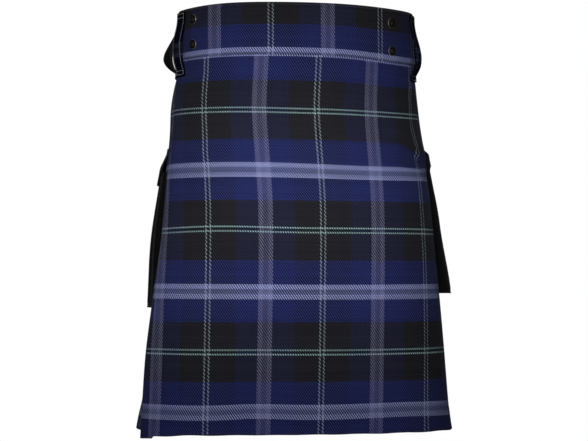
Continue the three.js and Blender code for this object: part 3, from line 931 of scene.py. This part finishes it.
def pleated_back():
    """The pleats: their zigzag at each drop, its layers a spacing apart, which grows downwards."""
    drop = skirt_rows(PLEAT_ROWS)
    k = np.arange(PLEAT_COUNT)[None, :, None]
    run, layer = loosened(*pleat_zigzag(drop, k), drop, k)
    u, u_right = pleat_sett(run, layer, drop, k)
    run, layer, u, u_right = (part.reshape(len(drop), -1) for part in (run, layer, u, u_right))
    seam, spacing = pleat_start(drop), curve(PLEATS, "spacing", drop)
    level = layer * spacing
    step_run, step_level = np.gradient(run, axis=1), np.gradient(level, axis=1)
    length = np.hypot(step_run, step_level)
    off_run, off_level = -step_level / length, step_run / length
    drops = np.broadcast_to(drop, run.shape)
    base = PLEAT_FACE - 2 * spacing - PLEAT_CLOTH / 2
    sunk = UNDER_APRON_LIFT * sunk_share(seam + run, drops)
    free = smooth((drops - PRESSED_TO) / PRESSED_FADE)
    middle = UNDER_BAND_LIFT * sunk_share(seam + run, drops)

    def face(side):
        """One face of the cloth: half its thickness out from the zigzag, on side 1 or -1."""
        reach = seam + run + side * off_run * PLEAT_CLOTH / 2
        lift = base + level + side * off_level * PLEAT_CLOTH / 2 + sunk
        lift = lift + fold_lift(reach, drops) + hem_relief(reach, drops)
        pressed = middle + (lift - sunk - PRESSED_MIDDLE) * PRESSED_SHARE
        return place(reach, drops, pressed + (lift - pressed) * free)

    wear = edge_wear(drops, np.inf)
    fold_wear = smooth(layer - 1.2) * smooth(1.95 - np.abs(layer - 1.5) * 4) * 0.7
    return cloth_piece(
        "cloth_pleats", face(1), face(-1), u, sett_v(drops), TARTAN, u_left=u_right,
        wear=np.maximum(wear, fold_wear))


# The waistband, belt loops, snaps and pockets

def waistband():
    """One strip over the outer apron from its free end, round the back, and on under itself. The
    edges are rounded, and the seam along the bottom draws the face in."""
    edge_rows = np.array([0, 0.5, 1.2, BAND_EDGE])
    rows = [edge_rows, np.linspace(5, 69, 17), BAND_HEIGHT - np.array([2.6, 1.2, 0.4, 0])]
    drop = np.concatenate(rows)[:, None]
    start, end = free_edge(drop), 2 * half_round(drop) + under_edge(drop)
    share = np.linspace(0, 1, 321)[None, :]
    reach = start + (end - start) * share
    drops = np.broadcast_to(drop, reach.shape)
    pulled = ripple(reach, "band_seam") * smooth((drops - 48) / 26)
    middle = UNDER_BAND_LIFT * sunk_share(reach, drops) + pulled
    from_edge = np.minimum(drops, BAND_HEIGHT - drops)
    rounded = 0.5 + 0.5 * np.sqrt(np.clip(1 - (1 - from_edge / BAND_EDGE) ** 2, 0, 1))
    thick = np.where(from_edge > BAND_EDGE, BAND_THICKNESS, BAND_THICKNESS * rounded)
    outer = place(reach, drops, middle + thick / 2)
    inner = place(reach, drops, middle - thick / 2)
    u = (reach - BAND_WARP_GREEN) / WARP_SETT
    v = (drops - BAND_WEFT_LAVENDER) / WEFT_SETT + 1
    wear = smooth(1 - from_edge / 2.5) * 0.1
    return cloth_piece("cloth_waistband", outer, inner, u, v, TARTAN, wear=wear)


def loop_surface(name, down, across):
    """Lift and reach on a belt loop's inner face: sewn flat at both ends, standing off between,
    where its -X side stands off further by its twist and the other side less."""
    reach_middle, bulge, lowest, twist = LOOPS[name]
    drop = LOOP_TOP + down
    share = np.clip((down - LOOP_SEWN) / (LOOP_HEIGHT - 2 * LOOP_SEWN), 0, 1)
    standing = np.where(
        share < lowest, smooth(share / lowest), 1 - ((share - lowest) / (1 - lowest)) ** 2)
    upper = band_face(reach_middle, np.minimum(drop, BAND_HEIGHT))
    lower = skirt_face(reach_middle + LOOP_WIDTH * np.array([-0.5, 0, 0.5]), float(LOOP_BOTTOM)).max()
    seat = upper + (lower - upper) * smooth((drop - BAND_HEIGHT) / LOOP_STEP_DOWN)
    turned = -twist * 2 * across / LOOP_WIDTH
    return reach_middle + across, drop, seat + SEAM_GAP + (bulge + turned) * standing


def belt_loop(name, material):
    """A strap with turned edges, pressed in along its topstitching."""
    down = np.linspace(0, LOOP_HEIGHT, 61)[:, None]
    across = np.linspace(-0.5, 0.5, 25)[None, :] * LOOP_WIDTH
    down, across = np.broadcast_arrays(down, across)
    reach, drop, lift = loop_surface(name, down, across)
    from_side = LOOP_WIDTH / 2 - np.abs(across)
    groove = 0.35 * np.exp(-((from_side - LOOP_STITCH_INSET) / 1.1) ** 2)
    outer = place(reach, drop, lift + STRAP_THICKNESS - groove)
    inner = place(reach, drop, lift)
    if material is SHADED_STRAP_TARTAN:
        u, v = across / WARP_SETT + 0.28, (drop - 60) / WEFT_SETT + 1 + 0 * across
    else:
        u, v = across + 0.0, down + 0.0
    from_edge = np.minimum(from_side, np.minimum(down, LOOP_HEIGHT - down))
    wear = smooth(1 - from_edge / 2) * 0.4
    return cloth_piece("strap_" + name, outer, inner, u, v, material, wear=wear)


# The snap's profile from its base to its top: share of the radius, share of the height, and how
# rubbed it is there.
SNAP_PROFILE = np.array([
    (0.7, 0, 0), (0.94, 0.02, 0.1), (1, 0.14, 0.9), (1, 0.26, 1.0), (0.97, 0.38, 1.1),
    (0.91, 0.43, 0.8), (0.84, 0.4, 0.25), (0.79, 0.37, 0.0), (0.74, 0.42, 0.15), (0.62, 0.62, 0.45),
    (0.46, 0.8, 0.7), (0.3, 0.92, 0.8), (0.24, 0.9, 0.4), (0.2, 0.93, 0.6), (0.1, 0.99, 0.85),
])
SNAP_TOP_WEAR = 0.85


def snap_cap(name):
    """A turned cap: its profile goes round a rim with a rolled edge, down a groove and up over a
    shallow dome with a flat pip."""
    reach, drop = map(float, SNAPS[name])
    turn = np.linspace(0, 2 * math.pi, 65)[:-1]
    radius, height, worn = SNAP_PROFILE.T * np.array([[SNAP_RADIUS], [SNAP_HEIGHT], [1]])
    centre = place(reach, drop, band_face(reach, drop) + SNAP_STANDOFF)
    ahead = place(reach, drop, 10.0) - place(reach, drop, 0.0)
    outward = ahead / np.linalg.norm(ahead)
    upward = np.array([0, 0, 1])
    side = np.cross(upward, outward)
    circle = np.cos(turn)[:, None] * side + np.sin(turn)[:, None] * upward
    rings = centre + (radius[:, None, None] * circle + height[:, None, None] * outward) / 1000
    top_centre = centre + outward * SNAP_HEIGHT / 1000
    points = np.concatenate([rings.reshape(-1, 3), [centre], [top_centre]])
    number = np.arange(rings.size // 3).reshape(len(radius), -1)
    after = np.roll(number, -1, axis=1)
    quads = np.stack([number[:-1], after[:-1], after[1:], number[1:]], -1).reshape(-1, 4)
    base, top = np.full((2, len(turn)), number.size) + [[0], [1]]
    base_fan = np.stack([after[0], base, number[0]], -1)
    top_fan = np.stack([number[-1], after[-1], top], -1)
    faces = quads.tolist() + base_fan.tolist() + top_fan.tolist()
    wear = np.concatenate([np.repeat(worn, len(turn)), [0, SNAP_TOP_WEAR]])
    return add_piece("cap_" + name, points, faces, METAL, wear=wear)


def pocket_point(pocket, share, drop, lift, margin, inset=0.0):
    """Place on a pocket: share of its width from -X to +X across its outer face, and inset
    millimetres in from the nearer side."""
    width = POCKET_WIDTH + 2 * margin
    forward = share if pocket["sign"] > 0 else 1 - share
    toward = np.where(forward < 0.5, inset, -inset)
    reach = pocket["sign"] * (POCKET_FRONT - margin + width * forward + toward)
    return place(reach, drop, skirt_face(reach, drop) + SEAM_GAP + lift)


def pouch_depth(pocket, fall):
    """How far the pouch stands off the kilt, at a share of its height below the mouth."""
    upper = pocket["depth"] + (pocket["belly"] - pocket["depth"]) * smooth(2 * fall)
    return upper + (pocket["base"] - pocket["belly"]) * smooth(2 * fall - 1)


GUSSET_STEPS = 9
GUSSET_FOLD = 4.5


def pouch(side):
    """The pouch: a front, and sides and a base that turn in to the kilt's cloth. "wall" goes from
    0 at the kilt to 1 at the front's edge, and the gusset is tucked in half way along it."""
    pocket = POCKETS[side]
    mouth = pocket["top"] + pocket["mouth"]
    rise = np.linspace(0, 1, GUSSET_STEPS)
    share = np.concatenate([0 * rise, np.linspace(0, 1, 49)[1:-1], 0 * rise + 1])[None, :]
    side_wall = np.concatenate([rise, np.ones(47), rise[::-1]])[None, :]
    fall = np.concatenate([np.linspace(0, 1, 57)[:-1], 0 * rise + 1])[:, None]
    base_wall = np.concatenate([np.ones(56), rise[::-1]])[:, None]
    wall = np.minimum(side_wall, base_wall)

    def groove(from_edge):
        """A bell 0.5 mm deep along the stitching."""
        return 0.5 * np.exp(-((from_edge - POCKET_STITCH_INSET) / 1.2) ** 2)

    def face(thickness):
        """The pouch's surface that far inside its outer face."""
        drop = mouth + (pocket["bottom"] - thickness - mouth) * fall + 0 * share
        tuck = GUSSET_FOLD * np.sin(math.pi * side_wall) ** 2 * smooth((1 - fall) * 9 + 0.15)
        crown = POCKET_CROWN * np.sin(math.pi * share) * np.sin(math.pi * fall)
        depth = pouch_depth(pocket, fall) + crown
        pinch = groove(np.minimum(share, 1 - share) * POCKET_WIDTH) * side_wall
        hem = groove((1 - fall) * (pocket["bottom"] - mouth))
        lift = wall * (depth - thickness - pinch * base_wall - hem * base_wall * side_wall)
        return pocket_point(pocket, share + 0 * fall, drop, lift, -thickness, tuck * base_wall)

    outer, inner = face(0.0), face(POCKET_CLOTH)
    grid = np.broadcast_to(share, outer.shape[:2])
    u = grid * POCKET_WIDTH + (side_wall - 1) * POCKET_TURNING * np.sign(0.5 - grid)
    v = fall * (pocket["bottom"] - mouth) + (1 - base_wall) * POCKET_TURNING
    wear = np.exp(-((side_wall - 1) / 0.15) ** 2) * (np.minimum(grid, 1 - grid) < 0.01) * 0.7
    return cloth_piece("pouch_" + side, outer, inner, u, v, BLACK, wear)


def flap_surface(pocket, share, down_share):
    """A flap sewn down along its top, then out over the mouth, its lower corners cut off."""
    corner = smooth(1 - np.minimum(share, 1 - share) / FLAP_CORNER_SHARE)
    down = (FLAP_HEIGHT - FLAP_CORNER * corner) * down_share
    drop = pocket["top"] + down
    fall = np.maximum(0, (drop - pocket["top"] - pocket["mouth"]) / (pocket["bottom"] - pocket["top"]))
    belly = FLAP_BELLY * np.sin(math.pi * share) * smooth(2 * down_share - 1)
    over = pouch_depth(pocket, fall) + FLAP_CLEARANCE + POCKET_CROWN * smooth(4 * fall) + belly
    lift = over * smooth((down - FLAP_SEWN) / (pocket["mouth"] - 2 * FLAP_SEWN))
    return down, drop, lift


def flap(side):
    """A flap with a groove at its stitching, on a grid of shares across and down it."""
    pocket = POCKETS[side]
    share = np.linspace(0, 1, 57)[None, :]
    down_share = np.linspace(0, 1, 33)[:, None]
    share, down_share = np.broadcast_arrays(share, down_share)
    down, drop, lift = flap_surface(pocket, share, down_share)
    edge = np.minimum(np.minimum(share, 1 - share) * FLAP_WIDTH, (1 - down_share) * FLAP_HEIGHT)
    groove = 0.4 * np.exp(-((edge - FLAP_STITCH_INSET) / 1.2) ** 2)
    outer = pocket_point(pocket, share, drop, lift + POCKET_CLOTH - groove, FLAP_OVERHANG)
    inner = pocket_point(pocket, share, drop, lift, FLAP_OVERHANG)
    wear = smooth(1 - edge / 2.0) * 0.8
    u = share * FLAP_WIDTH
    return cloth_piece("flap_" + side, outer, inner, u, down, BLACK, wear)


# Stitching

STITCH_LENGTH = 2.6
STITCH_GAP = 0.9
STITCH_RADIUS = 0.3
STITCH_SIDES = 6
STITCH_RINGS = 5


def along_line(at, arc, values):
    """Three columns of values, read at distances along a line."""
    return np.stack([np.interp(at, arc, column) for column in values.T], -1)


def lengthwise(vectors):
    """Unit vectors, one a stitch, ready to multiply by rings and sides."""
    return (vectors / np.linalg.norm(vectors, axis=1, keepdims=True))[:, None, None, :]


def stitch_piece(name, lines, material):
    """Rows of stitches along lines of points and outward directions. Each stitch is a tube of
    rings that narrows and dips into the cloth at both ends."""
    centres, directions, outwards = [], [], []
    for path, normal in lines:
        step = np.linalg.norm(np.diff(path, axis=0), axis=1) * 1000
        arc = np.concatenate([[0], np.cumsum(step)])
        at = np.arange(STITCH_LENGTH / 2, arc[-1], STITCH_LENGTH + STITCH_GAP)
        ahead = along_line(np.minimum(at + 0.5, arc[-1]), arc, path)
        centres.append(along_line(at, arc, path))
        directions.append(ahead - along_line(at - 0.5, arc, path))
        outwards.append(along_line(at, arc, normal))
    centre = np.concatenate(centres)[:, None, None, :]
    direction = lengthwise(np.concatenate(directions))
    outward = lengthwise(np.concatenate(outwards))
    side = np.cross(direction, outward)
    ring = np.linspace(-1, 1, STITCH_RINGS)[None, :, None, None]
    turn = (np.arange(STITCH_SIDES) * 2 * math.pi / STITCH_SIDES)[None, None, :, None]
    width = STITCH_RADIUS * np.sqrt(np.clip(1.04 - ring ** 2, 0, 1))
    dip = STITCH_RADIUS * (0.35 - 1.1 * ring ** 4)
    middle = direction * ring * STITCH_LENGTH / 2 + outward * dip
    round_it = width * (side * np.cos(turn) + outward * np.sin(turn))
    points = centre + (middle + round_it) / 1000
    number = np.arange(points.size // 3).reshape(-1, STITCH_RINGS, STITCH_SIDES)
    after = np.roll(number, -1, axis=2)
    tube = np.stack([number[:, :-1], number[:, 1:], after[:, 1:], after[:, :-1]], -1).reshape(-1, 4)
    caps = []
    for end, order in ((0, [0, 1, 2, 3]), (-1, [3, 2, 1, 0])):
        for half in ([0, 1, 2, 3], [3, 4, 5, 0]):
            caps.append(number[:, end, half][:, order])
    return add_piece(name, points, np.concatenate([tube, *caps]).tolist(), material)


def surface_line(point_at, reach, drop, lift):
    """Points of a line on a surface, with the outward direction at each, 1 mm long."""
    low = point_at(reach, drop, lift)
    return low, point_at(reach, drop, lift + 1.0) - low


def pocket_line(pocket, share, drop, lift, margin):
    """The same for a line on a pocket."""
    def point_at(share, drop, lift):
        return pocket_point(pocket, share, drop, lift, margin)
    return surface_line(point_at, share, drop, lift)


def loop_stitching(name):
    """Two lines down a belt loop, and two across each sewn end."""
    inset = LOOP_WIDTH / 2 - LOOP_STITCH_INSET
    down = np.linspace(1, LOOP_HEIGHT - 1, 60)
    across = np.linspace(-inset, inset, 30)
    rows = [(down, side + 0 * down, STRAP_THICKNESS - 0.25) for side in (-inset, inset)]
    for level in (2.0, LOOP_SEWN, LOOP_HEIGHT - LOOP_SEWN, LOOP_HEIGHT - 2.0):
        rows.append((level + 0 * across, across, STRAP_THICKNESS))
    lines = []
    for row_down, row_across, height in rows:
        reach, drop, lift = loop_surface(name, row_down, row_across)
        lines.append(surface_line(place, reach, drop, lift + height))
    return lines


def three_sides(margin, low, high, side_count):
    """Shares across and down of a line that goes down one side, along the bottom and up the
    other, margin in from the sides, from high down to low."""
    side = np.zeros(side_count)
    middle = np.linspace(margin, 1 - margin, 50)
    share = np.concatenate([margin + side, middle, 1 - margin + side])
    down = np.concatenate([
        np.linspace(high, low, side_count), low + 0 * middle, np.linspace(low, high, side_count)])
    return share, down


def flap_stitching(side):
    """A line round a flap inside its edge, and one along its sewn top."""
    pocket = POCKETS[side]
    margin, low = FLAP_STITCH_INSET / FLAP_WIDTH, 1 - FLAP_STITCH_INSET / FLAP_HEIGHT
    top = np.linspace(0.02, 0.98, 60)
    lines = []
    for share, down in (three_sides(margin, low, 0.05, 12), (top, 0.03 + 0 * top)):
        _, drop, lift = flap_surface(pocket, share, down)
        lines.append(pocket_line(pocket, share, drop, lift + POCKET_CLOTH - 0.2, FLAP_OVERHANG))
    return lines


def pouch_stitching(side):
    """A line down each side of the pouch's front and along its bottom."""
    pocket = POCKETS[side]
    mouth = pocket["top"] + pocket["mouth"]
    tall = pocket["bottom"] - mouth
    share, fall = three_sides(
        POCKET_STITCH_INSET / POCKET_WIDTH, 1 - POCKET_STITCH_INSET / tall, 0.02, 60)
    crown = POCKET_CROWN * np.sin(math.pi * share) * np.sin(math.pi * fall)
    lift = pouch_depth(pocket, fall) + crown - 0.45
    return [pocket_line(pocket, share, mouth + tall * fall, lift, 0.0)]


def band_stitching():
    """A line all round the waistband near its top edge and one near its bottom edge."""
    lines = []
    for drop in (2.6, BAND_HEIGHT - 2.8):
        end = 2 * half_round(drop) + under_edge(drop)
        reach = np.linspace(free_edge(drop) + 1, float(end) - 1, 500)
        lift = UNDER_BAND_LIFT * sunk_share(reach, drop) + BAND_THICKNESS / 2 - 0.1
        lines.append(surface_line(place, reach, drop, lift))
    return lines


# Assembly


under = under_apron()
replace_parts(under, "under_apron")
apron = outer_apron()
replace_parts(apron, "outer_apron")
pleats = pleated_back()
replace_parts(pleats, "pleated_back")
band = waistband()
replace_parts(band, "waistband")
band_lines = stitch_piece("stitching_waistband", band_stitching(), DARK_THREAD)

LOOP_BACKING = {
    "belt_loop_front_left": apron,
    "belt_loop_side_left": under,
    "belt_loop_front_right": apron,
    "belt_loop_side_right": apron,
    "belt_loop_back": pleats,
}
for loop_name, backing in LOOP_BACKING.items():
    # The side-left loop is cut from the black cloth: partly a black strap and partly painted shade, for
    # it hangs in deep shade. The other loops take the tartan darkened by painted shade.
    black_in_shade = loop_name == "belt_loop_side_left"
    strap = belt_loop(loop_name, BLACK if black_in_shade else SHADED_STRAP_TARTAN)
    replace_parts(strap, loop_name)
    thread = GREY_THREAD if loop_name == "belt_loop_front_left" else DARK_THREAD
    seams = stitch_piece("stitching_" + loop_name, loop_stitching(loop_name), thread)

for pocket_side in POCKETS:
    pocket = pouch(pocket_side)
    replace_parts(pocket, "pocket_" + pocket_side)
    lines = pouch_stitching(pocket_side)
    seams = stitch_piece("stitching_pouch_" + pocket_side, lines, DARK_THREAD)
    cover = flap(pocket_side)
    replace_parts(cover, "pocket_flap_" + pocket_side)
    lines = flap_stitching(pocket_side)
    seams = stitch_piece("stitching_flap_" + pocket_side, lines, DARK_THREAD)

for snap_name in SNAPS:
    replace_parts(snap_cap(snap_name), snap_name)


# Stage, light and camera

def stage_material():
    """A matt pale floor that the eye sees as an evenly lit white."""
    material, tree, shader, _ = new_material("pale_floor")
    shader.inputs["Base Color"].default_value = (0.2, 0.2, 0.2, 1)
    shader.inputs["Roughness"].default_value = 0.9
    glow = new_node(tree, "ShaderNodeEmission", Color=(1, 1, 1, 1), Strength=1.0)
    seen = tree.nodes.new("ShaderNodeLightPath").outputs["Is Camera Ray"]
    blend = new_node(tree, "ShaderNodeMixShader", Fac=seen)
    tree.links.new(shader.outputs[0], blend.inputs[1])
    tree.links.new(glow.outputs[0], blend.inputs[2])
    tree.links.new(blend.outputs[0], tree.nodes["Material Output"].inputs["Surface"])
    return material


FLOOR_HEIGHT = -0.72
# The bowl's profile in metres: how far out, and how far above the floor.
BOWL = np.array([
    (1, 0), (2.5, 0), (4.5, 0), (6, 0.1), (7, 0.4), (7.8, 0.95), (8.3, 1.8), (8.5, 3), (8.5, 5),
    (8.5, 8),
])


def stage_bowl():
    """A pale floor that curves up into a wall all round: a profile turned about the kilt's axis."""
    turn = np.linspace(0, 2 * math.pi, 97)[:-1]
    out, up = BOWL[:, :1], BOWL[:, 1:]
    rings = np.stack([out * np.cos(turn), out * np.sin(turn), FLOOR_HEIGHT + up + 0 * turn], -1)
    number = np.arange(rings.size // 3).reshape(len(BOWL), -1)
    after = np.roll(number, -1, axis=1)
    quads = np.stack([number[1:], after[1:], after[:-1], number[:-1]], -1).reshape(-1, 4)
    middle = np.full(len(turn), number.size)
    centre = np.stack([number[0], after[0], middle], -1)
    points = np.concatenate([rings.reshape(-1, 3), [[0, 0, FLOOR_HEIGHT]]])
    faces = quads.tolist() + centre.tolist()
    show("stage", smooth_mesh("stage", points, faces, stage_material()))


def aim(item, location, target):
    """Puts a light or camera at a place, looking at a target, with +Z up in its picture."""
    back = np.array(location, float) - np.array(target, float)
    back = back / np.linalg.norm(back)
    right = np.cross([0, 0, 1], back)
    right = right / np.linalg.norm(right)
    up = np.cross(back, right)
    rotation = np.eye(4)
    rotation[:3, 0], rotation[:3, 1], rotation[:3, 2], rotation[:3, 3] = right, up, back, location
    item.matrix_world = Matrix(rotation.tolist())


def add_lamp(name, kind, location, target, power, **settings):
    """A lamp of that kind and power at a place, looking at a target."""
    light = bpy.data.lights.new(name, kind)
    light.energy = power
    for setting, value in settings.items():
        setattr(light, setting, value)
    aim(show(name, light), location, target)


def world_light(strength):
    """A faint even white light from all round."""
    world = bpy.data.worlds.new("studio")
    world.use_nodes = True
    background = world.node_tree.nodes["Background"]
    background.inputs["Color"].default_value = (1, 1, 1, 1)
    background.inputs["Strength"].default_value = strength
    bpy.context.scene.world = world


CAMERA_DISTANCE = 3.0
CAMERA_AZIMUTH = -10.7
CAMERA_HEIGHT = BAND_HEIGHT / 2000 - 0.388
FOCAL_PIXELS = 2042
IMAGE_WIDTH, IMAGE_HEIGHT = 588, 441
AXIS_AT = (295.5, 277)


def make_camera():
    """A level camera whose shift puts the kilt's axis and the eye's height where they were seen."""
    camera = bpy.data.cameras.new("camera")
    camera.sensor_width = 36
    camera.lens = FOCAL_PIXELS * 36 / IMAGE_WIDTH
    camera.shift_x = (IMAGE_WIDTH / 2 - AXIS_AT[0]) / IMAGE_WIDTH
    camera.shift_y = (AXIS_AT[1] - IMAGE_HEIGHT / 2) / IMAGE_WIDTH
    camera.clip_start, camera.clip_end = 0.05, 60
    item = show("camera", camera)
    turn = math.radians(CAMERA_AZIMUTH)
    eye = (CAMERA_DISTANCE * math.sin(turn), -CAMERA_DISTANCE * math.cos(turn), CAMERA_HEIGHT)
    aim(item, eye, (0, 0, CAMERA_HEIGHT))
    bpy.context.scene.camera = item


stage_bowl()
world_light(0.025)
add_lamp(
    "key", "SPOT", (-0.8, -3.3, 0.25), (-0.025, -0.12, -0.22), 610,
    spot_size=math.radians(13.3), spot_blend=1.0, shadow_soft_size=0.25)
for lamp, location, target, power, size in (
        ("front_fill", (-1.0, -3.3, 0.6), (0, 0, -0.2), 42, (1.2, 0.9)),
        ("back_fill", (0.8, 3.6, 0.9), (0, 0, -0.2), 110, (2.0, 1.5)),
        ("top_fill", (0.1, 0.9, 2.6), (0, 0.05, -0.2), 28, (1.5, 1.5))):
    add_lamp(
        lamp, "AREA", location, target, power, shape="RECTANGLE", size=size[0], size_y=size[1])
bpy.context.scene.view_settings.view_transform = "Standard"
make_camera()
